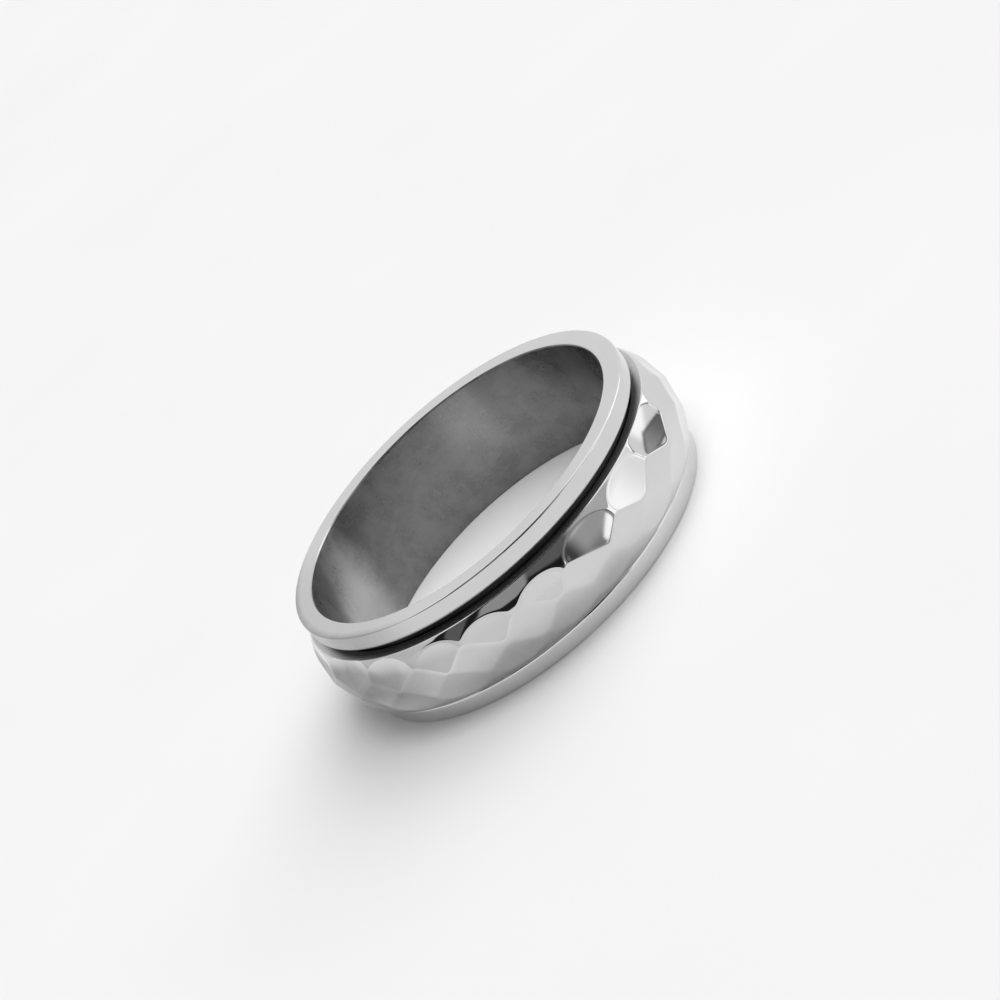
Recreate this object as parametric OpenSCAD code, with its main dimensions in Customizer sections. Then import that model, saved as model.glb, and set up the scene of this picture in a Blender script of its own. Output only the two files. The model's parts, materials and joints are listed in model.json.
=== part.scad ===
// Spinner ring lying on its side: an inner band with two rims, and a loose
// domed and hammered band that turns between them. The ring's axis is Z, and
// the lower rim's face is at z = 0.

/* [Inner band] */
// Diameter of the finger hole
bore_d = 18; // [14:0.1:23]
// Width of the whole ring, from rim face to rim face
ring_w = 6.1; // [5.5:0.1:9]
// Wall of the inner band where the spinner runs on it
sleeve_wall = 0.6; // [0.5:0.05:0.75]
// Wall of the two rims, from the finger hole to their outside
rim_wall = 1.05; // [0.95:0.05:1.3]
// Width of each rim, along the ring's axis
rim_w = 1; // [0.7:0.05:1.3]
// Rounding of the finger hole's two edges
bore_edge_r = 0.12; // [0.05:0.01:0.2]
// Rounding of each rim's outer edge
rim_edge_r = 0.1; // [0.03:0.01:0.15]
// Rounding of each rim's edge beside the spinner
rim_lip_r = 0.25; // [0.05:0.01:0.3]

/* [Spinner] */
// Wall of the spinner at its two end faces
end_wall = 0.62; // [0.44:0.02:1]
// Rise of the dome above the edges of the end faces
dome_rise = 0.62; // [0.3:0.02:0.9]
// Rounding between the end faces and the dome
spinner_edge_r = 0.1; // [0.03:0.01:0.15]

/* [Fits] */
// Radial clearance between the spinner and the inner band
turn_clearance = 0.08; // [0.03:0.01:0.1]
// Clearance between the spinner and the lower rim that it lies on
seat_clearance = 0.04; // [0.02:0.01:0.1]
// Play between the spinner and the upper rim
end_play = 0.35; // [0.1:0.05:0.5]

/* [Hammering] */
// Number of hammer marks in each of the three rows
marks_round = 21; // [17:1:25]
// Depth of a hammer mark of middling weight
mark_depth = 0.14; // [0.06:0.01:0.18]
// Radius of the hammer's face
hammer_r = 25; // [15:1:50]
// Height of the outer rows above and below the middle of the dome, as a share of half the spinner's width
row_height = 0.48; // [0.3:0.02:0.6]

/* [Hidden] */

// The blows of each row, which start again when the list ends: how far the mark
// strays along the row and up, as shares of the distance between two marks and
// of half the spinner's width, and its depth as a share of mark_depth
ALONG = 0;
UP = 1;
WEIGHT = 2;
UPPER_BLOWS = [
    [0.00, 0.00, 0.95],
    [-0.12, -0.05, 0.85],
    [-0.10, -0.12, 0.85],
    [-0.10, -0.02, 1.25],
    [-0.03, 0.02, 1.25],
    [0.02, 0.17, 1.65],
    [0.00, 0.06, 1.20]
];
MIDDLE_BLOWS = [
    [0.00, 0.00, 1.10],
    [0.04, -0.04, 1.00],
    [0.10, 0.00, 1.10],
    [-0.04, -0.13, 0.90],
    [0.00, -0.04, 1.10],
    [0.05, 0.02, 1.00],
    [0.00, 0.00, 1.10]
];
LOWER_BLOWS = [
    [0.00, 0.02, 1.10],
    [0.00, -0.06, 0.80],
    [0.08, 0.00, 1.05],
    [-0.18, -0.04, 0.90],
    [0.05, 0.00, 1.00],
    [0.00, -0.04, 0.90],
    [0.00, 0.02, 1.10]
];
// Angle of the first mark of the outer rows. The middle row is half a mark further round.
FIRST_MARK = -125;

bore_r = bore_d / 2;
sleeve_r = bore_r + sleeve_wall;
rim_r = bore_r + rim_wall;

spinner_bore_r = sleeve_r + turn_clearance;
spinner_end_r = spinner_bore_r + end_wall;
dome_r = spinner_end_r + dome_rise;
spinner_z = rim_w + seat_clearance;
spinner_w = ring_w - 2 * rim_w - seat_clearance - end_play;
half_w = spinner_w / 2;
dome_z = spinner_z + half_w;
// Arc of the dome's section, and the distance of its centre from the ring's axis
arc_r = (half_w * half_w + dome_rise * dome_rise) / (2 * dome_rise);
arc_x = dome_r - arc_r;

// Where the small edge arc meets the dome's arc and the end face
edge_x = arc_x + sqrt(pow(arc_r - spinner_edge_r, 2) - pow(half_w - spinner_edge_r, 2));
edge_angle = atan2(half_w - spinner_edge_r, edge_x - arc_x);

// Sides of a full turn, of the small edge arcs and of the hammer's face
turn_sides = 240;
edge_sides = 48;
hammer_sides = 180;

// A square corner of an outline, of the size r, less the quarter circle that rounds it. The corner
// is at the origin, and the outline lies towards [across, along], each 1 or -1.
module corner_waste(r, across, along) {
    difference() {
        translate([across * r / 2, along * r / 2]) square(r, center = true);
        translate([across * r, along * r]) circle(r = r, $fn = edge_sides);
    }
}

// Section of the rim that stands on z = 0, with its face down
module rim_section() {
    difference() {
        translate([bore_r, 0]) square([rim_wall, rim_w]);
        translate([bore_r, 0]) corner_waste(bore_edge_r, 1, 1);
        translate([rim_r, 0]) corner_waste(rim_edge_r, -1, 1);
        translate([rim_r, rim_w]) corner_waste(rim_lip_r, -1, -1);
    }
}

module inner_band() {
    color("gainsboro")
    rotate_extrude($fn = turn_sides) {
        rim_section();
        translate([bore_r, rim_w / 2]) square([sleeve_wall, ring_w - rim_w]);
        translate([0, ring_w]) mirror([0, 1]) rim_section();
    }
}

// The corner between an end face and the dome, less the small arc that rounds it and meets both.
// The middle of the dome is at height 0.
module dome_corner_waste() {
    reach = 2 * spinner_edge_r;
    translate([edge_x, half_w - spinner_edge_r])
        difference() {
            polygon([[0, 0], [reach * cos(edge_angle), reach * sin(edge_angle)], [reach, reach], [0, reach]]);
            circle(r = spinner_edge_r, $fn = edge_sides);
        }
}

// Section of the spinner: the dome's arc between two flat end faces
module spinner_section() {
    difference() {
        intersection() {
            translate([spinner_bore_r, -half_w]) square([dome_r - spinner_bore_r, spinner_w]);
            translate([arc_x, 0]) circle(r = arc_r, $fn = turn_sides);
        }
        dome_corner_waste();
        mirror([0, 1]) dome_corner_waste();
    }
}

// The hammer's face at the bottom of its mark, at an angle round the ring and a height on the dome
module hammer_face(angle, height, depth) {
    rotate([0, 0, angle])
        translate([arc_x, 0, dome_z])
            rotate([0, -asin(height / arc_r), 0])
                translate([arc_r + hammer_r - depth, 0, 0])
                    sphere(r = hammer_r, $fn = hammer_sides);
}

// One row of marks round the spinner, with its blows from the list
module mark_row(start, height, blows) {
    for (i = [0 : marks_round - 1]) {
        blow = blows[i % len(blows)];
        hammer_face(start + 360 / marks_round * (i + blow[ALONG]),
                    height + half_w * blow[UP], mark_depth * blow[WEIGHT]);
    }
}

module spinner_band() {
    color("silver")
    difference() {
        translate([0, 0, dome_z]) rotate_extrude($fn = turn_sides) spinner_section();
        mark_row(FIRST_MARK, row_height * half_w, UPPER_BLOWS);
        mark_row(FIRST_MARK + 180 / marks_round, 0, MIDDLE_BLOWS);
        mark_row(FIRST_MARK, -row_height * half_w, LOWER_BLOWS);
    }
}

inner_band();
spinner_band();
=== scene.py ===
import functools
import json
import math

import bpy
from mathutils import Matrix, Vector


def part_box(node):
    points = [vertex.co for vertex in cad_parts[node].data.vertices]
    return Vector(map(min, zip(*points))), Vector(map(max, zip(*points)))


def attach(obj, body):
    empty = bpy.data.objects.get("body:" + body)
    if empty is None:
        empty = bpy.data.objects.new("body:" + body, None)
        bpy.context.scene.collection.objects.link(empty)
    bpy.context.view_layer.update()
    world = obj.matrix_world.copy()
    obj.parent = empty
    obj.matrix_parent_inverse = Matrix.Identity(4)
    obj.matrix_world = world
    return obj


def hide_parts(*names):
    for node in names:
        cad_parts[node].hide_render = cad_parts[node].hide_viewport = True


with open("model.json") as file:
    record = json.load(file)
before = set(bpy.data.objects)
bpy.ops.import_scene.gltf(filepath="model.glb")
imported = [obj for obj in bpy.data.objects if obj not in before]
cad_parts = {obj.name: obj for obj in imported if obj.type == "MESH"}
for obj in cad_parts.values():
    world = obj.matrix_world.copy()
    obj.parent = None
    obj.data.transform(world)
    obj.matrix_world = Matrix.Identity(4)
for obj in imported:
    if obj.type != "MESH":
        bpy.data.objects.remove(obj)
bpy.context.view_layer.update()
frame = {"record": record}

# Sizes are in metres. Those of the ring are the part's own, and the frame gives the ones that it holds.
MM = 0.001

ring_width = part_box("inner_band")[1].z
spinner_low, spinner_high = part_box("spinner_band")
mounts = {mount["name"]: mount for mount in frame["record"]["mounts"]}

bore_radius = mounts["finger_bore"]["dims"]["r_mm"] * MM
rim_wall = 1.05 * MM
rim_width = 1.0 * MM
sleeve_wall = 0.6 * MM
bore_edge = 0.12 * MM
rim_edge = 0.1 * MM
rim_lip = 0.25 * MM

turn_clearance = 0.08 * MM
end_wall = 0.62 * MM
dome_rise = 0.62 * MM
spinner_edge = 0.1 * MM

rim_radius = bore_radius + rim_wall
sleeve_radius = bore_radius + sleeve_wall
spinner_bore_radius = sleeve_radius + turn_clearance
spinner_end_radius = spinner_bore_radius + end_wall
dome_radius = spinner_end_radius + dome_rise
half_width = (spinner_high.z - spinner_low.z) / 2
dome_height = (spinner_high.z + spinner_low.z) / 2
arc_radius = (half_width ** 2 + dome_rise ** 2) / (2 * dome_rise)
arc_centre = dome_radius - arc_radius

# The hammer's blows, as in the part: along the row and up, as shares of the distance between two marks
# and of half the spinner's width, and the weight of the blow
MARKS_IN_ROW = 21
MARK_DEPTH = 0.14 * MM
HAMMER_RADIUS = 25 * MM
ROW_HEIGHT = 0.48
FIRST_MARK = -125
UPPER_BLOWS = [
    (0.00, 0.00, 0.95),
    (-0.12, -0.05, 0.85),
    (-0.10, -0.12, 0.85),
    (-0.10, -0.02, 1.25),
    (-0.03, 0.02, 1.25),
    (0.02, 0.17, 1.65),
    (0.00, 0.06, 1.20),
]
MIDDLE_BLOWS = [
    (0.00, 0.00, 1.10),
    (0.04, -0.04, 1.00),
    (0.10, 0.00, 1.10),
    (-0.04, -0.13, 0.90),
    (0.00, -0.04, 1.10),
    (0.05, 0.02, 1.00),
    (0.00, 0.00, 1.10),
]
LOWER_BLOWS = [
    (0.00, 0.02, 1.10),
    (0.00, -0.06, 0.80),
    (0.08, 0.00, 1.05),
    (-0.18, -0.04, 0.90),
    (0.05, 0.00, 1.00),
    (0.00, -0.04, 0.90),
    (0.00, 0.02, 1.10),
]
# Each row: the angle of its first mark, its side of the middle of the dome, and its blows
ROWS = [
    (FIRST_MARK, 1, UPPER_BLOWS),
    (FIRST_MARK + 180 / MARKS_IN_ROW, 0, MIDDLE_BLOWS),
    (FIRST_MARK, -1, LOWER_BLOWS),
]
# How far the polish softens the ridges between the marks, and the edges of the marks on the plain dome
RIDGE_SOFTNESS = 0.05 * MM
EDGE_SOFTNESS = 0.04 * MM

# Sides of the two bands, and steps of the dome's arc and of the small arcs in their sections
BAND_SIDES = 480
SPINNER_SIDES = 720
DOME_STEPS = 72
EDGE_STEPS = 6
# Distance from a corner of a section to the point that holds the shading of a long side flat
HOLD = 0.02 * MM
# Points of the bands that are closer than this become one
MERGE_DISTANCE = 1e-8

# Greys are shares of the light that a surface gives back
POLISHED_GREY = 0.66
RIM_ROUGHNESS = 0.04
SPINNER_ROUGHNESS = 0.02
# The share that full tarnishing and painted shade take from the grey, what they add to the roughness, and
# where the clouds of tarnishing and painted shade at the ring's end are thickest, in degrees round from +X
TARNISH_AND_SHADE_DARKENING = 0.3
TARNISH_ROUGHENING = 0.1
TARNISHED_AND_SHADED_END = -172

FLOOR_GREY = 0.78
FLOOR_GLOW = 0.04
FLOOR_REACH = 3.0

# Lights of the mirrored room: its black parts, the window's panes and the high pane
BLACK = 0.015
PANE = 1.4
HIGH_PANE = 1.6

# The photograph's view, worked out from the ellipses of the rims
CAMERA_ELEVATION = math.radians(23.61)
CAMERA_ROLL = math.radians(-43.085)
CAMERA_DISTANCE = 167.86 * MM
FOCAL_PIXELS = 3467
FRAME_PIXELS = 1000
RING_CENTRE_PIXEL = (493.9, 523.25)
SENSOR_WIDTH = 36
NEAREST_SEEN = 1 * MM
FARTHEST_SEEN = 10


class Wire:
    """A node's output, so that sums on values are written as plain Python."""

    def __init__(self, nodes, socket):
        self.nodes = nodes
        self.socket = socket

    def __add__(self, other):
        return self.nodes.math("ADD", self, other)

    def __radd__(self, other):
        return self.nodes.math("ADD", other, self)

    def __sub__(self, other):
        return self.nodes.math("SUBTRACT", self, other)

    def __rsub__(self, other):
        return self.nodes.math("SUBTRACT", other, self)

    def __mul__(self, other):
        return self.nodes.math("MULTIPLY", self, other)

    def __rmul__(self, other):
        return self.nodes.math("MULTIPLY", other, self)

    def __truediv__(self, other):
        return self.nodes.math("DIVIDE", self, other)

    def __pow__(self, other):
        return self.nodes.math("POWER", self, other)


class Nodes:
    """Makes the nodes of one tree."""

    def __init__(self, tree):
        self.tree = tree
        tree.nodes.clear()

    def add(self, kind, settings=None, inputs=None):
        """A new node: its settings first, then a value or a wire for each named or numbered input."""
        node = self.tree.nodes.new(kind)
        for name, value in (settings or {}).items():
            setattr(node, name, value)
        for name, value in (inputs or {}).items():
            self.feed(node.inputs[name], value)
        return node

    def feed(self, socket, value):
        """Links a wire to the socket, or sets a plain value on it."""
        if isinstance(value, Wire):
            self.tree.links.new(value.socket, socket)
        else:
            socket.default_value = value

    def out(self, node, name=0):
        return Wire(self, node.outputs[name])

    def math(self, operation, *values):
        node = self.add("ShaderNodeMath", {"operation": operation}, dict(enumerate(values)))
        return self.out(node)

    def vector_math(self, operation, *values):
        node = self.add("ShaderNodeVectorMath", {"operation": operation}, dict(enumerate(values)))
        return self.out(node, "Value" if operation == "DOT_PRODUCT" else "Vector")

    def vector(self, x, y, z):
        return self.out(self.add("ShaderNodeCombineXYZ", None, {"X": x, "Y": y, "Z": z}))

    def split(self, vector):
        node = self.add("ShaderNodeSeparateXYZ", None, {"Vector": vector})
        return [self.out(node, axis) for axis in "XYZ"]

    def smooth_step(self, value, low, high, from_value=0.0, to_value=1.0):
        """From one value to the other, softly, as value goes from low to high."""
        node = self.add("ShaderNodeMapRange", {"interpolation_type": "SMOOTHSTEP"}, {
            "Value": value, "From Min": low, "From Max": high, "To Min": from_value, "To Max": to_value,
        })
        return self.out(node)

    def between(self, value, low, high, blur):
        """1 where the value is between low and high, and 0 beyond them, with soft edges."""
        above_low = self.smooth_step(value, low - blur, low + blur)
        return above_low * self.smooth_step(value, high - blur, high + blur, 1, 0)

    def least(self, *values):
        return functools.reduce(lambda one, other: self.math("MINIMUM", one, other), values)

    def most(self, *values):
        return functools.reduce(lambda one, other: self.math("MAXIMUM", one, other), values)

    def mix(self, share, one, other):
        """Between two values: one where share is 0, the other where it is 1."""
        return one + share * (other - one)

    def noise(self, place, scale, detail=2.0, roughness=0.5):
        node = self.add("ShaderNodeTexNoise", None,
                        {"Vector": place, "Scale": scale, "Detail": detail, "Roughness": roughness})
        return self.out(node, "Fac")

    def from_axis(self, x, y):
        """Distance from the ring's axis."""
        return self.math("SQRT", x * x + y * y)

    def degrees_round(self, x, y):
        """Angle round the ring's axis, from +X towards +Y."""
        return self.math("DEGREES", self.math("ARCTAN2", y, x))


# Sections, as closed outlines of (distance from the axis, height)

def arc(centre, radius, start, end, steps):
    """Points of an arc, from one angle to the other, in degrees."""
    angles = [math.radians(start + (end - start) * i / steps) for i in range(steps + 1)]
    return [(centre[0] + radius * math.cos(a), centre[1] + radius * math.sin(a)) for a in angles]


def with_holding_points(outline):
    """Adds points close to both ends of each long side, so that it is shaded flat beside small arcs."""
    points = []
    for start, end in zip(outline, outline[1:] + outline[:1]):
        points.append(start)
        side = math.dist(start, end)
        if side > 4 * HOLD:
            for share in (HOLD / side, 1 - HOLD / side):
                points.append(tuple(a + (b - a) * share for a, b in zip(start, end)))
    return points


def rim_outline():
    """Outside of the lower rim, from the bore's edge round to the foot of the groove's wall."""
    return (
        arc((bore_radius + bore_edge, bore_edge), bore_edge, 180, 270, EDGE_STEPS)
        + arc((rim_radius - rim_edge, rim_edge), rim_edge, -90, 0, EDGE_STEPS)
        + arc((rim_radius - rim_lip, rim_width - rim_lip), rim_lip, 0, 90, EDGE_STEPS)
        + [(sleeve_radius, rim_width)]
    )


def inner_band_outline():
    lower = rim_outline()
    upper = [(r, ring_width - z) for r, z in reversed(lower)]
    return with_holding_points(lower + upper)


def spinner_outline():
    """Bore, end faces and dome, with a small arc between each end face and the dome."""
    edge_height = half_width - spinner_edge
    edge_centre_r = arc_centre + math.sqrt((arc_radius - spinner_edge) ** 2 - edge_height ** 2)
    edge_angle = math.degrees(math.atan2(edge_height, edge_centre_r - arc_centre))
    low_edge = (edge_centre_r, dome_height - edge_height)
    high_edge = (edge_centre_r, dome_height + edge_height)
    return with_holding_points(
        [(spinner_bore_radius, dome_height - half_width)]
        + arc(low_edge, spinner_edge, -90, -edge_angle, EDGE_STEPS)
        + arc((arc_centre, dome_height), arc_radius, -edge_angle, edge_angle, DOME_STEPS)[1:-1]
        + arc(high_edge, spinner_edge, edge_angle, 90, EDGE_STEPS)
        + [(spinner_bore_radius, dome_height + half_width)]
    )


# Geometry Nodes

def new_tree(name, sizes):
    """An empty Geometry Nodes tree with named sizes, its nodes, and a wire for each size."""
    tree = bpy.data.node_groups.new(name, "GeometryNodeTree")
    tree.interface.new_socket("Section", in_out="INPUT", socket_type="NodeSocketGeometry")
    for size, kind in sizes.items():
        tree.interface.new_socket(size, in_out="INPUT", socket_type=kind)
    tree.interface.new_socket("Band", in_out="OUTPUT", socket_type="NodeSocketGeometry")
    nodes = Nodes(tree)
    given = nodes.add("NodeGroupInput")
    return nodes, {name: nodes.out(given, name) for name in ["Section", *sizes]}


def turned(nodes, section, sides):
    """The section turned round the axis, as a closed mesh of that many sides."""
    size = nodes.add("GeometryNodeAttributeDomainSize", {"component": "MESH"}, {"Geometry": section})
    points = nodes.out(size, "Point Count")
    grid = nodes.add("GeometryNodeMeshGrid", None, {"Vertices X": sides + 1, "Vertices Y": points + 1})
    index = nodes.out(nodes.add("GeometryNodeInputIndex"))
    side = nodes.math("FLOOR", (index + 0.5) / (points + 1))
    point = nodes.math("MODULO", index - side * (points + 1), points)
    sampled = nodes.add("GeometryNodeSampleIndex", {"data_type": "FLOAT_VECTOR", "domain": "POINT"},
                        {"Geometry": section, "Value": nodes.out(nodes.add("GeometryNodeInputPosition")),
                         "Index": point})
    radius, _, height = nodes.split(nodes.out(sampled))
    angle = math.tau * nodes.math("MODULO", side, sides) / sides
    place = nodes.vector(radius * nodes.math("COSINE", angle), radius * nodes.math("SINE", angle), height)
    band = nodes.add("GeometryNodeSetPosition", None,
                     {"Geometry": nodes.out(grid, "Mesh"), "Position": place})
    closed = nodes.add("GeometryNodeMergeByDistance", None,
                       {"Geometry": nodes.out(band), "Distance": MERGE_DISTANCE})
    smooth = nodes.add("GeometryNodeSetShadeSmooth", None, {"Geometry": nodes.out(closed)})
    return nodes.out(smooth)


def finish_tree(nodes, band, materials):
    """Sets the materials, each on its selection or on all, and closes the tree."""
    for material, selection in materials:
        node = nodes.add("GeometryNodeSetMaterial", None, {"Geometry": band, "Material": material})
        if selection is not None:
            nodes.feed(node.inputs["Selection"], selection)
        band = nodes.out(node)
    solid = nodes.add("GeometryNodeRealizeInstances", None, {"Geometry": band})
    nodes.add("NodeGroupOutput", None, {"Band": nodes.out(solid)})


def blow_points(nodes, sizes, start, side, blows):
    """Centres of the hammer's face for the blows of one row, as points."""
    index = nodes.out(nodes.add("GeometryNodeInputIndex"))
    turn_of_list = nodes.math("MODULO", index, len(blows))

    def column(number):
        switch = nodes.add("GeometryNodeIndexSwitch", {"data_type": "FLOAT"})
        for _ in range(len(blows) - 2):
            switch.index_switch_items.new()
        nodes.feed(switch.inputs["Index"], turn_of_list)
        for row, blow in enumerate(blows):
            switch.inputs[row + 1].default_value = blow[number]
        return nodes.out(switch)

    along, up, weight = (column(number) for number in range(3))
    angle = math.radians(start) + math.tau * (index + along) / sizes["Marks in a row"]
    height = (side * sizes["Row height"] + up) * sizes["Half width"]
    tilt = nodes.math("ARCSINE", height / sizes["Arc radius"])
    reach = sizes["Arc radius"] + sizes["Hammer radius"] - weight * sizes["Mark depth"]
    radius = sizes["Arc centre"] + reach * nodes.math("COSINE", tilt)
    place = nodes.vector(radius * nodes.math("COSINE", angle), radius * nodes.math("SINE", angle),
                         sizes["Dome height"] + reach * nodes.math("SINE", tilt))
    points = nodes.add("GeometryNodePoints", None, {"Count": sizes["Marks in a row"], "Position": place})
    return nodes.out(points)


def hammered(nodes, band, sizes):
    """The band with its dome beaten in by every blow, the deepest one winning softly."""
    join = nodes.add("GeometryNodeJoinGeometry")
    for start, side, blows in ROWS:
        nodes.tree.links.new(blow_points(nodes, sizes, start, side, blows).socket, join.inputs[0])
    centres = nodes.out(join)

    place = nodes.out(nodes.add("GeometryNodeInputPosition"))
    x, y, z = nodes.split(place)
    distance = nodes.from_axis(x, y)
    # From the centre of the dome's arc to the place, and the direction in which the dome is pushed in
    out_of_arc = distance - sizes["Arc centre"]
    above_arc = z - sizes["Dome height"]
    from_arc = nodes.math("SQRT", out_of_arc * out_of_arc + above_arc * above_arc)
    slant = out_of_arc / (from_arc * distance)
    outwards = nodes.vector(x * slant, y * slant, above_arc / from_arc)

    # For every blow, how far the hammer's face pushes the place in. The start, and a blow on another side of
    # the band, are put a metre out of reach.
    start = nodes.add("GeometryNodeRepeatInput")
    end = nodes.add("GeometryNodeRepeatOutput")
    start.pair_with_output(end)
    end.repeat_items.clear()
    end.repeat_items.new("FLOAT", "Push")
    blow_count = nodes.add("GeometryNodeAttributeDomainSize", {"component": "POINTCLOUD"},
                           {"Geometry": centres})
    nodes.feed(start.inputs["Iterations"], nodes.out(blow_count, "Point Count"))
    nodes.feed(start.inputs["Push"], -1.0)
    centre = nodes.add("GeometryNodeSampleIndex", {"data_type": "FLOAT_VECTOR", "domain": "POINT"},
                       {"Geometry": centres, "Value": place, "Index": nodes.out(start, "Iteration")})
    away = nodes.vector_math("SUBTRACT", place, nodes.out(centre))
    along = nodes.vector_math("DOT_PRODUCT", away, outwards)
    inside = along * along - nodes.vector_math("DOT_PRODUCT", away, away) + sizes["Hammer radius"] ** 2
    facing = nodes.math("LESS_THAN", along, -0.5 * sizes["Hammer radius"])
    push = along + nodes.math("SQRT", nodes.math("MAXIMUM", inside, 0.0)) - (1 - facing)
    deepest = nodes.math("SMOOTH_MAX", nodes.out(start, "Push"), push, sizes["Ridge softness"])
    nodes.feed(end.inputs["Push"], deepest)

    on_dome = nodes.math("GREATER_THAN", distance, sizes["Hammered from"])
    pushed = nodes.math("SMOOTH_MAX", nodes.out(end, "Push"), 0.0, sizes["Edge softness"])
    offset = nodes.vector_math("SCALE", outwards)
    nodes.feed(offset.socket.node.inputs["Scale"], 0 - pushed * on_dome)
    return nodes.out(nodes.add("GeometryNodeSetPosition", None, {"Geometry": band, "Offset": offset}))


def section_object(name, outline):
    """An object whose mesh is the outline's points, in order, across +X."""
    mesh = bpy.data.meshes.new(name)
    count = len(outline)
    mesh.from_pydata([(r, 0, z) for r, z in outline], [(i, (i + 1) % count) for i in range(count)], [])
    made = bpy.data.objects.new(name, mesh)
    bpy.context.scene.collection.objects.link(made)
    return made


def made_by_nodes(name, outline, nodes, sizes):
    """A plain mesh piece: the outline, worked by the tree with these sizes."""
    piece = section_object(name, outline)
    modifier = piece.modifiers.new("Make", "NODES")
    modifier.node_group = nodes.tree
    items = nodes.tree.interface.items_tree
    identifiers = {item.name: item.identifier for item in items if item.in_out == "INPUT"}
    for size, value in sizes.items():
        modifier[identifiers[size]] = value
    evaluated = piece.evaluated_get(bpy.context.evaluated_depsgraph_get())
    mesh = bpy.data.meshes.new_from_object(evaluated)
    piece.modifiers.clear()
    piece.data = mesh
    mesh.name = name
    return piece


# Materials

def towards(azimuth, elevation):
    """The direction at this angle round from +X and up from the floor, in degrees."""
    turn, rise = math.radians(azimuth), math.radians(elevation)
    return Vector((math.cos(rise) * math.cos(turn), math.cos(rise) * math.sin(turn), math.sin(rise)))


def new_material(name, base_color, metallic, roughness):
    """A material, its nodes and its shader."""
    material = bpy.data.materials.new(name)
    material.use_nodes = True
    nodes = Nodes(material.node_tree)
    shader = nodes.add("ShaderNodeBsdfPrincipled", None,
                       {"Base Color": (base_color, base_color, base_color, 1), "Metallic": metallic,
                        "Roughness": roughness})
    nodes.add("ShaderNodeOutputMaterial", None, {"Surface": nodes.out(shader)})
    return material, nodes, shader


def grey(nodes, value):
    """A grey colour from a value."""
    node = nodes.add("ShaderNodeCombineColor", None, {"Red": value, "Green": value, "Blue": value})
    return nodes.out(node)


def bump(nodes, shader, height, distance, strength):
    node = nodes.add("ShaderNodeBump", None,
                     {"Height": height, "Distance": distance, "Strength": strength})
    nodes.feed(shader.inputs["Normal"], nodes.out(node))


def object_place(nodes):
    return nodes.out(nodes.add("ShaderNodeTexCoord"), "Object")


def stretched(nodes, place, scale):
    node = nodes.add("ShaderNodeMapping", {"vector_type": "POINT"}, {"Vector": place, "Scale": scale})
    return nodes.out(node)


def polished_steel(name, least_roughness, tarnish_and_shade):
    """Bright steel with very fine scratches from wear, and tarnishing with painted shade where its function
    says.
    """
    material, nodes, shader = new_material(name, POLISHED_GREY, 1.0, least_roughness)
    place = object_place(nodes)
    cloudy = nodes.noise(place, scale=450, detail=3)
    scratches = nodes.noise(stretched(nodes, place, (900, 900, 26000)), scale=1, detail=3, roughness=0.6)
    tarnish_and_shade_share = tarnish_and_shade(nodes, place)
    clean_grey = POLISHED_GREY - 0.03 + 0.06 * cloudy
    clean_roughness = least_roughness + 0.03 * cloudy + 0.02 * scratches
    # Painted shade: the grey is darkened where the share of tarnishing and shade is high
    nodes.feed(shader.inputs["Base Color"], grey(nodes, clean_grey * (1 - TARNISH_AND_SHADE_DARKENING * tarnish_and_shade_share)))
    nodes.feed(shader.inputs["Roughness"], clean_roughness + TARNISH_ROUGHENING * tarnish_and_shade_share ** 2)
    bump(nodes, shader, scratches, distance=0.001 * MM, strength=0.12)
    return material


# Painted shade: the ring's end at -X is darkened, besides its clouds of tarnishing, for the darker reflection
# on that side
def left_end(nodes, place):
    """How near a place on the ring is to its end at -X: 1 within 18 degrees of it, and 0 beyond 49."""
    x, y, _ = nodes.split(place)
    along = nodes.vector_math("DOT_PRODUCT", place, towards(TARNISHED_AND_SHADED_END, 0))
    return nodes.smooth_step(along / nodes.from_axis(x, y), 0.66, 0.95)


def tarnish_clouds(nodes, place):
    return nodes.noise(place, scale=420, detail=4, roughness=0.55)


def rim_tarnish_and_shade(nodes, place):
    """How far the rims are darkened: clouds of tarnishing with painted shade on the upper rim at -X, most of
    all on its outside.
    """
    x, y, z = nodes.split(place)
    outside = nodes.smooth_step(
        nodes.from_axis(x, y), rim_radius - 0.45 * MM, rim_radius - 0.05 * MM, 0.4, 1.3
    )
    upper = nodes.smooth_step(z, 3 * MM, 5 * MM)
    # Painted shade mixed with clouds of tarnishing on the upper rim's outside at -X
    return left_end(nodes, place) * outside * upper * (0.6 + 0.8 * tarnish_clouds(nodes, place))


def spinner_tarnish_and_shade(nodes, place):
    """How far the spinner is darkened: streaks of tarnishing with painted shade on its lower shoulder, at -X
    and -Y, and clouds of tarnishing with painted shade at -X.
    """
    x, y, z = nodes.split(place)
    round_ring = nodes.degrees_round(x, y)
    # In millimetres, and uneven, so that no tarnishing or painted shade ends at a level line
    height = z / MM + 2.2 * (nodes.noise(place, scale=190, detail=3) - 0.5)
    streaks = nodes.noise(stretched(nodes, place, (2600, 2600, 350)), scale=1, detail=4, roughness=0.6)
    # Painted shade: the lower shoulder at -Y is darkened, with real streaks in it, where it mirrors the
    # shadowed floor close under the ring
    side = nodes.smooth_step(round_ring, -140, -112) * nodes.smooth_step(round_ring, -60, -76)
    shoulder_stain_and_shade = side * nodes.smooth_step(height, 3.0, 1.5) * (0.75 + 0.5 * streaks)
    # Painted shade at the end at -X, mixed with the clouds of tarnishing
    end = left_end(nodes, place) * nodes.smooth_step(height, 1.4, 2.9) * nodes.smooth_step(height, 4.9, 3.9)
    return shoulder_stain_and_shade + end * (1.1 + 1.4 * tarnish_clouds(nodes, place))


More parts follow.
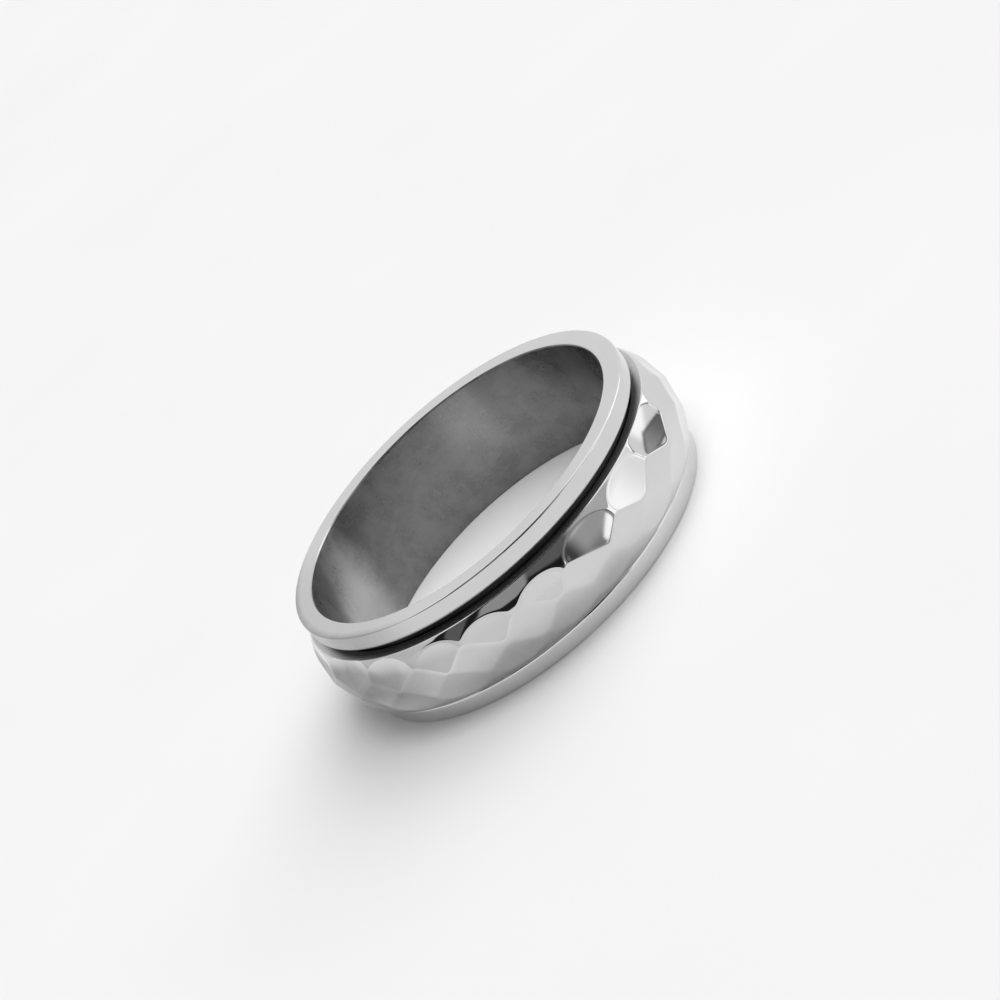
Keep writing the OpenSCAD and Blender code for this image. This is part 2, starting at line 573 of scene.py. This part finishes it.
def satin_steel(name):
    """The finger hole's wall: brushed round the hole, dull and stained, with a painted light streak and a
    painted lighter reflection on one side, and painted shade on the other.
    """
    material, nodes, shader = new_material(name, 0.25, 1.0, 0.3)
    place = object_place(nodes)
    mottled = nodes.smooth_step(nodes.noise(place, scale=650, detail=5, roughness=0.62), 0.35, 0.65)
    grain = nodes.noise(place, scale=9000)
    blotches = nodes.noise(place, scale=260, detail=3, roughness=0.6)
    brushed = nodes.noise(stretched(nodes, place, (250, 250, 14000)), scale=1, detail=4, roughness=0.6)

    # Round the hole from +X, in degrees, and up from the lower rim's face, in millimetres, both uneven
    x, y, z = nodes.split(place)
    round_hole = nodes.degrees_round(x, y) + 12 * (blotches - 0.5)
    height = z / MM + 2 * (blotches - 0.5)

    def near(angle, far, close):
        """1 where the angle is this close, and 0 where it is that far."""
        return nodes.smooth_step(nodes.math("ABSOLUTE", round_hole - angle), far, close)

    # Painted light: a bright streak where the brushed wall mirrors the window
    painted_light_streak = (
        nodes.smooth_step(round_hole, 128, 142)
        * nodes.smooth_step(round_hole + 6.5 * (height - 4.5), 160, 145)
        * nodes.smooth_step(height, 0.3, 3.2)
    )
    # Painted light on the left side of the hole and painted shade on its right side, added to the stains
    painted_light_left = nodes.smooth_step(round_hole, 125, 145) * nodes.smooth_step(round_hole, 178, 164)
    cloud = near(74, 14, 2) * nodes.smooth_step(height, 1, 4.5)
    painted_shade_right = near(15, 50, 12)
    stain_and_painted_light_grey = (
        0.15 + 0.07 * mottled + 0.03 * brushed + 0.05 * grain
        + 0.16 * painted_light_left + 0.1 * cloud - 0.04 * painted_shade_right
    )
    painted_streak_grey = 0.66 + 0.08 * mottled
    nodes.feed(shader.inputs["Base Color"], grey(nodes, nodes.mix(painted_light_streak, stain_and_painted_light_grey, painted_streak_grey)))
    nodes.feed(shader.inputs["Roughness"], 0.22 + 0.1 * mottled + 0.06 * brushed)
    bump(nodes, shader, brushed, distance=0.004 * MM, strength=0.4)
    return material


def end_steel(name):
    """The spinner's end faces and bore, as turned: grey, with rings round the axis."""
    material, nodes, shader = new_material(name, 0.5, 1.0, 0.35)
    place = object_place(nodes)
    x, y, _ = nodes.split(place)
    rings = nodes.noise(nodes.vector(nodes.from_axis(x, y) * 30000, 0.0, 0.0), scale=1)
    cloudy = nodes.noise(place, scale=700, detail=3)
    nodes.feed(shader.inputs["Base Color"], grey(nodes, 0.42 + 0.16 * cloudy))
    nodes.feed(shader.inputs["Roughness"], 0.28 + 0.14 * rings)
    return material


def groove_shade_steel(name):
    """The groove's walls, which are never polished, painted nearly black for the shade deep in the groove."""
    material, nodes, shader = new_material(name, 0.1, 1.0, 0.5)
    cloudy = nodes.noise(object_place(nodes), scale=700, detail=3)
    # Painted shade: a nearly black grey for the depth of the groove
    nodes.feed(shader.inputs["Base Color"], grey(nodes, 0.02 + 0.05 * cloudy))
    nodes.feed(shader.inputs["Roughness"], 0.3 + 0.2 * cloudy)
    return material


# Pieces

def make_inner_band():
    """The band that touches the finger, with its two rims and the groove between them."""
    limits = {
        "Bore up to": bore_radius + bore_edge / 2,
        "Groove up to": rim_radius - rim_lip - bore_edge / 8,
        "Groove from height": rim_width - rim_lip / 4,
        "Groove to height": ring_width - rim_width + rim_lip / 4,
    }
    kinds = {"Sides": "NodeSocketInt", **{name: "NodeSocketFloat" for name in limits}}
    nodes, sizes = new_tree("Turned band", kinds)
    band = turned(nodes, sizes["Section"], sizes["Sides"])
    x, y, z = nodes.split(nodes.out(nodes.add("GeometryNodeInputPosition")))
    distance = nodes.from_axis(x, y)
    in_bore = nodes.math("LESS_THAN", distance, sizes["Bore up to"])
    in_groove = (
        nodes.math("LESS_THAN", distance, sizes["Groove up to"])
        * nodes.math("GREATER_THAN", z, sizes["Groove from height"])
        * nodes.math("LESS_THAN", z, sizes["Groove to height"])
    )
    finish_tree(nodes, band, [
        (polished_steel("polished_rim_steel", RIM_ROUGHNESS, rim_tarnish_and_shade), None),
        (groove_shade_steel("painted_shade_groove_steel"), in_groove),
        (satin_steel("satin_bore_steel"), in_bore),
    ])
    piece = made_by_nodes("inner_band_turned", inner_band_outline(), nodes,
                          {"Sides": BAND_SIDES, **limits})
    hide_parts("inner_band")
    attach(piece, "band")


def make_spinner():
    """The loose band, domed and hammered."""
    lengths = {
        "Dome height": dome_height,
        "Half width": half_width,
        "Arc radius": arc_radius,
        "Arc centre": arc_centre,
        "Row height": ROW_HEIGHT,
        "Mark depth": MARK_DEPTH,
        "Hammer radius": HAMMER_RADIUS,
        "Ridge softness": RIDGE_SOFTNESS,
        "Edge softness": EDGE_SOFTNESS,
        "Hammered from": spinner_end_radius - spinner_edge / 2,
        "End face from": half_width - spinner_edge / 50,
        "Bore up to": spinner_bore_radius + spinner_edge / 50,
    }
    kinds = {"Sides": "NodeSocketInt", "Marks in a row": "NodeSocketInt",
             **{name: "NodeSocketFloat" for name in lengths}}
    nodes, sizes = new_tree("Hammered band", kinds)
    band = turned(nodes, sizes["Section"], sizes["Sides"])
    x, y, z = nodes.split(nodes.out(nodes.add("GeometryNodeInputPosition")))
    distance = nodes.from_axis(x, y)
    from_middle = nodes.math("ABSOLUTE", z - sizes["Dome height"])
    end_faces = (
        nodes.math("GREATER_THAN", from_middle, sizes["End face from"])
        * nodes.math("LESS_THAN", distance, sizes["Hammered from"])
    )
    in_bore = nodes.math("LESS_THAN", distance, sizes["Bore up to"])
    finish_tree(nodes, hammered(nodes, band, sizes), [
        (polished_steel("hammered_steel", SPINNER_ROUGHNESS, spinner_tarnish_and_shade), None),
        (end_steel("turned_end_steel"), nodes.most(end_faces, in_bore)),
    ])
    piece = made_by_nodes("spinner_hammered", spinner_outline(), nodes,
                          {"Sides": SPINNER_SIDES, "Marks in a row": MARKS_IN_ROW, **lengths})
    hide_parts("spinner_band")
    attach(piece, "spinner")


# Camera, floor and light

def make_camera():
    """The photograph's view of the ring, which shows it turned in the picture."""
    data = bpy.data.cameras.new("camera")
    data.sensor_width = SENSOR_WIDTH
    data.lens = FOCAL_PIXELS / FRAME_PIXELS * data.sensor_width
    data.shift_x = (FRAME_PIXELS / 2 - RING_CENTRE_PIXEL[0]) / FRAME_PIXELS
    data.shift_y = (RING_CENTRE_PIXEL[1] - FRAME_PIXELS / 2) / FRAME_PIXELS
    data.clip_start = NEAREST_SEEN
    data.clip_end = FARTHEST_SEEN
    camera = bpy.data.objects.new("camera", data)
    bpy.context.scene.collection.objects.link(camera)
    turn = Matrix.Rotation(math.pi / 2 - CAMERA_ELEVATION, 4, "X") @ Matrix.Rotation(CAMERA_ROLL, 4, "Z")
    back = turn.to_3x3() @ Vector((0, 0, 1))
    middle = Vector((0, 0, ring_width / 2))
    camera.matrix_world = Matrix.Translation(middle + back * CAMERA_DISTANCE) @ turn
    bpy.context.scene.camera = camera


def make_floor():
    """A plain pale floor."""
    mesh = bpy.data.meshes.new("floor")
    corners = [(FLOOR_REACH * x, FLOOR_REACH * y, 0) for x, y in ((-1, -1), (1, -1), (1, 1), (-1, 1))]
    mesh.from_pydata(corners, [], [(0, 1, 2, 3)])
    floor = bpy.data.objects.new("floor", mesh)
    bpy.context.scene.collection.objects.link(floor)
    material, nodes, shader = new_material("pale_floor", FLOOR_GREY, 0.0, 0.8)
    cloudy = nodes.noise(object_place(nodes), scale=60)
    nodes.feed(shader.inputs["Base Color"], grey(nodes, FLOOR_GREY + 0.04 * cloudy))
    shader.inputs["Specular IOR Level"].default_value = 0.0
    shader.inputs["Emission Color"].default_value = (1, 1, 1, 1)
    shader.inputs["Emission Strength"].default_value = FLOOR_GLOW
    mesh.materials.append(material)


def share_towards(nodes, direction, azimuth, elevation):
    """Cosine of the angle from this azimuth and elevation, and 0 beyond a right angle."""
    return nodes.most(nodes.vector_math("DOT_PRODUCT", direction, towards(azimuth, elevation)), 0.0)


def soft_sky(nodes, direction):
    """The floor's light: a soft key from beyond the ring at the right, and a fill from above at the right."""
    key = nodes.smooth_step(share_towards(nodes, direction, 40, 35), 0.83, 0.97, 0, 2.8)
    fill = 3.6 * share_towards(nodes, direction, -30, 70) ** 8
    return 0.12 + key + fill


def pale_walls(nodes, direction, azimuth, elevation):
    """Walls as pale as the floor at their foot, but dimmer left, behind the camera and beyond the ring."""
    step = nodes.smooth_step
    left = share_towards(nodes, direction, 170, 10)
    behind = share_towards(nodes, direction, -90, 0)
    beyond = share_towards(nodes, direction, 90, 25)
    light = step(elevation, 4, 20, 0.92, 1.0) + step(elevation, 45, 65, 0, 0.3) - 0.05 * behind
    light = light - left ** 2 * (step(elevation, 0, 3.5, 0, 0.28) + step(elevation, 10, 25, 0, 0.12))
    light = light - 0.09 * beyond ** 12
    beside_window = nodes.between(azimuth, -52, -8, 4) * step(elevation, 26, 34, 1, 0)
    return nodes.mix(beside_window, light, 1.08)


def with_dark_end(nodes, light, direction, azimuth, elevation):
    """The dark end of the room behind the camera, with black parts and a black ceiling."""
    step, between = nodes.smooth_step, nodes.between
    # Grey, with a lighter panel, and lighter towards the window. Low down it has a corner that is shaded on
    # one side.
    panel = between(azimuth, -132, -98, 2) * step(elevation, 24, 27)
    dark = nodes.mix(panel, step(azimuth, -66, -55, 0.13, 0.55), 0.36)
    corner = nodes.mix(step(azimuth, -56.2, -60), 0.05, step(elevation, 6, 8.5, 0.42, 0.24))
    dark = nodes.mix(step(elevation, 9, 14, 1, 0) * step(azimuth, -76, -71), dark, corner)
    slanting_top = elevation - 0.6 * (-64 - azimuth)
    black = nodes.most(
        between(azimuth, -98, -70, 1.5) * step(elevation, 8.8, 9.8) * step(slanting_top, 14, 22, 1, 0),
        between(azimuth, -98, -79, 2) * step(elevation, 8, 9, 1, 0),
        between(azimuth, -134, -98, 1) * step(elevation, 24, 27, 1, 0),
        between(azimuth, -141, -132, 2),
        step(azimuth, -153, -156),
    )
    dark = nodes.mix(black, dark, BLACK)

    # How far inside the end's outline a direction is, in degrees
    above_foot = elevation - step(azimuth, -91, -83, 14, 2.8)
    left_of_window = step(elevation, 10, 16, -55, -24) - azimuth
    inside = nodes.least(above_foot, azimuth + 162, left_of_window, 75 - elevation)
    light = nodes.mix(step(inside, -0.6, 0.6), light, dark)

    overhead = nodes.vector_math("DOT_PRODUCT", direction, towards(-90, 80))
    ceiling = step(overhead, math.cos(math.radians(26)), math.cos(math.radians(22)))
    return nodes.mix(ceiling, light, BLACK)


def with_window(nodes, light, azimuth, elevation):
    """The window's low panes, the first one cut off aslant by the dark corner, and its high pane."""
    step, between = nodes.smooth_step, nodes.between
    aslant = 0 - azimuth - nodes.most(62 + (8.5 - elevation) * 1.48, 62.7)
    first = step(aslant, 0, 0.8) * between(azimuth, -67.5, -60, 0.5) * between(elevation, 4, 9.3, 0.4)
    second = between(azimuth, -53, -31, 1) * between(elevation, 2, 12.5, 0.6)
    light = nodes.mix(nodes.most(first, second), light, PANE)
    last = between(azimuth, -32, -11, 1) * step(elevation, 1.2, 3.2) * step(elevation, 7.8, 9.8, 1, 0)
    light = nodes.mix(last, light, step(azimuth, -30, -20, 1.05, PANE))
    high = between(azimuth, 2, 34, 3) * between(elevation - step(azimuth, 17, 21, 10, 1), 0, 42, 1.5)
    return nodes.mix(high, light, HIGH_PANE)


def with_leaf(nodes, light, azimuth, elevation):
    """A dark leaf in front of the window, over a bright strip of floor."""
    step = nodes.smooth_step
    strip = nodes.between(azimuth, -4, 12, 1.5) * step(elevation, 5, 6, 1, 0)
    light = nodes.mix(strip, light, PANE)
    bottom = nodes.most(4.8 + 0.45 * (10 - azimuth), 5.25 - 0.075 * (azimuth - 3))
    top = 9.0 - 0.42 * nodes.most(azimuth - 7, 0.0)
    # How far inside the leaf's outline a direction is, in degrees. The leaf is black at its rim.
    inside = nodes.least(elevation - bottom, top - elevation, 1.2 * (14.9 - azimuth), 1.2 * (azimuth - 3.2))
    leaf = step(inside, 0.1, 0.5, 0.06, 1.0) * step(azimuth, 4, 15, 0.17, 0.42)
    return nodes.mix(step(inside, -0.15, 0.15), light, leaf)


def mirrored_room(nodes, direction):
    """What the steel mirrors: a pale room with a dark end behind the camera and a window at its right."""
    x, y, z = nodes.split(direction)
    # In degrees: round from +X towards +Y, and up from the floor
    azimuth = nodes.degrees_round(x, y)
    elevation = nodes.math("DEGREES", nodes.math("ARCSINE", z))
    light = pale_walls(nodes, direction, azimuth, elevation)
    light = with_dark_end(nodes, light, direction, azimuth, elevation)
    light = with_window(nodes, light, azimuth, elevation)
    return with_leaf(nodes, light, azimuth, elevation)


def make_world():
    """The mirrored room for the steel's reflections, and the soft sky for the floor and the camera."""
    world = bpy.data.worlds.new("room")
    bpy.context.scene.world = world
    world.use_nodes = True
    nodes = Nodes(world.node_tree)
    direction = nodes.vector_math("NORMALIZE", nodes.out(nodes.add("ShaderNodeTexCoord"), "Generated"))
    sky, room = (
        nodes.out(nodes.add("ShaderNodeBackground", None, {"Color": grey(nodes, light), "Strength": 1.0}))
        for light in (soft_sky(nodes, direction), mirrored_room(nodes, direction))
    )
    in_steel = nodes.out(nodes.add("ShaderNodeLightPath"), "Is Glossy Ray")
    seen = nodes.add("ShaderNodeMixShader", None, {0: in_steel, 1: sky, 2: room})
    nodes.add("ShaderNodeOutputWorld", None, {"Surface": nodes.out(seen)})


make_camera()
make_floor()
make_world()
make_inner_band()
make_spinner()
bpy.context.scene.view_settings.view_transform = "Standard"
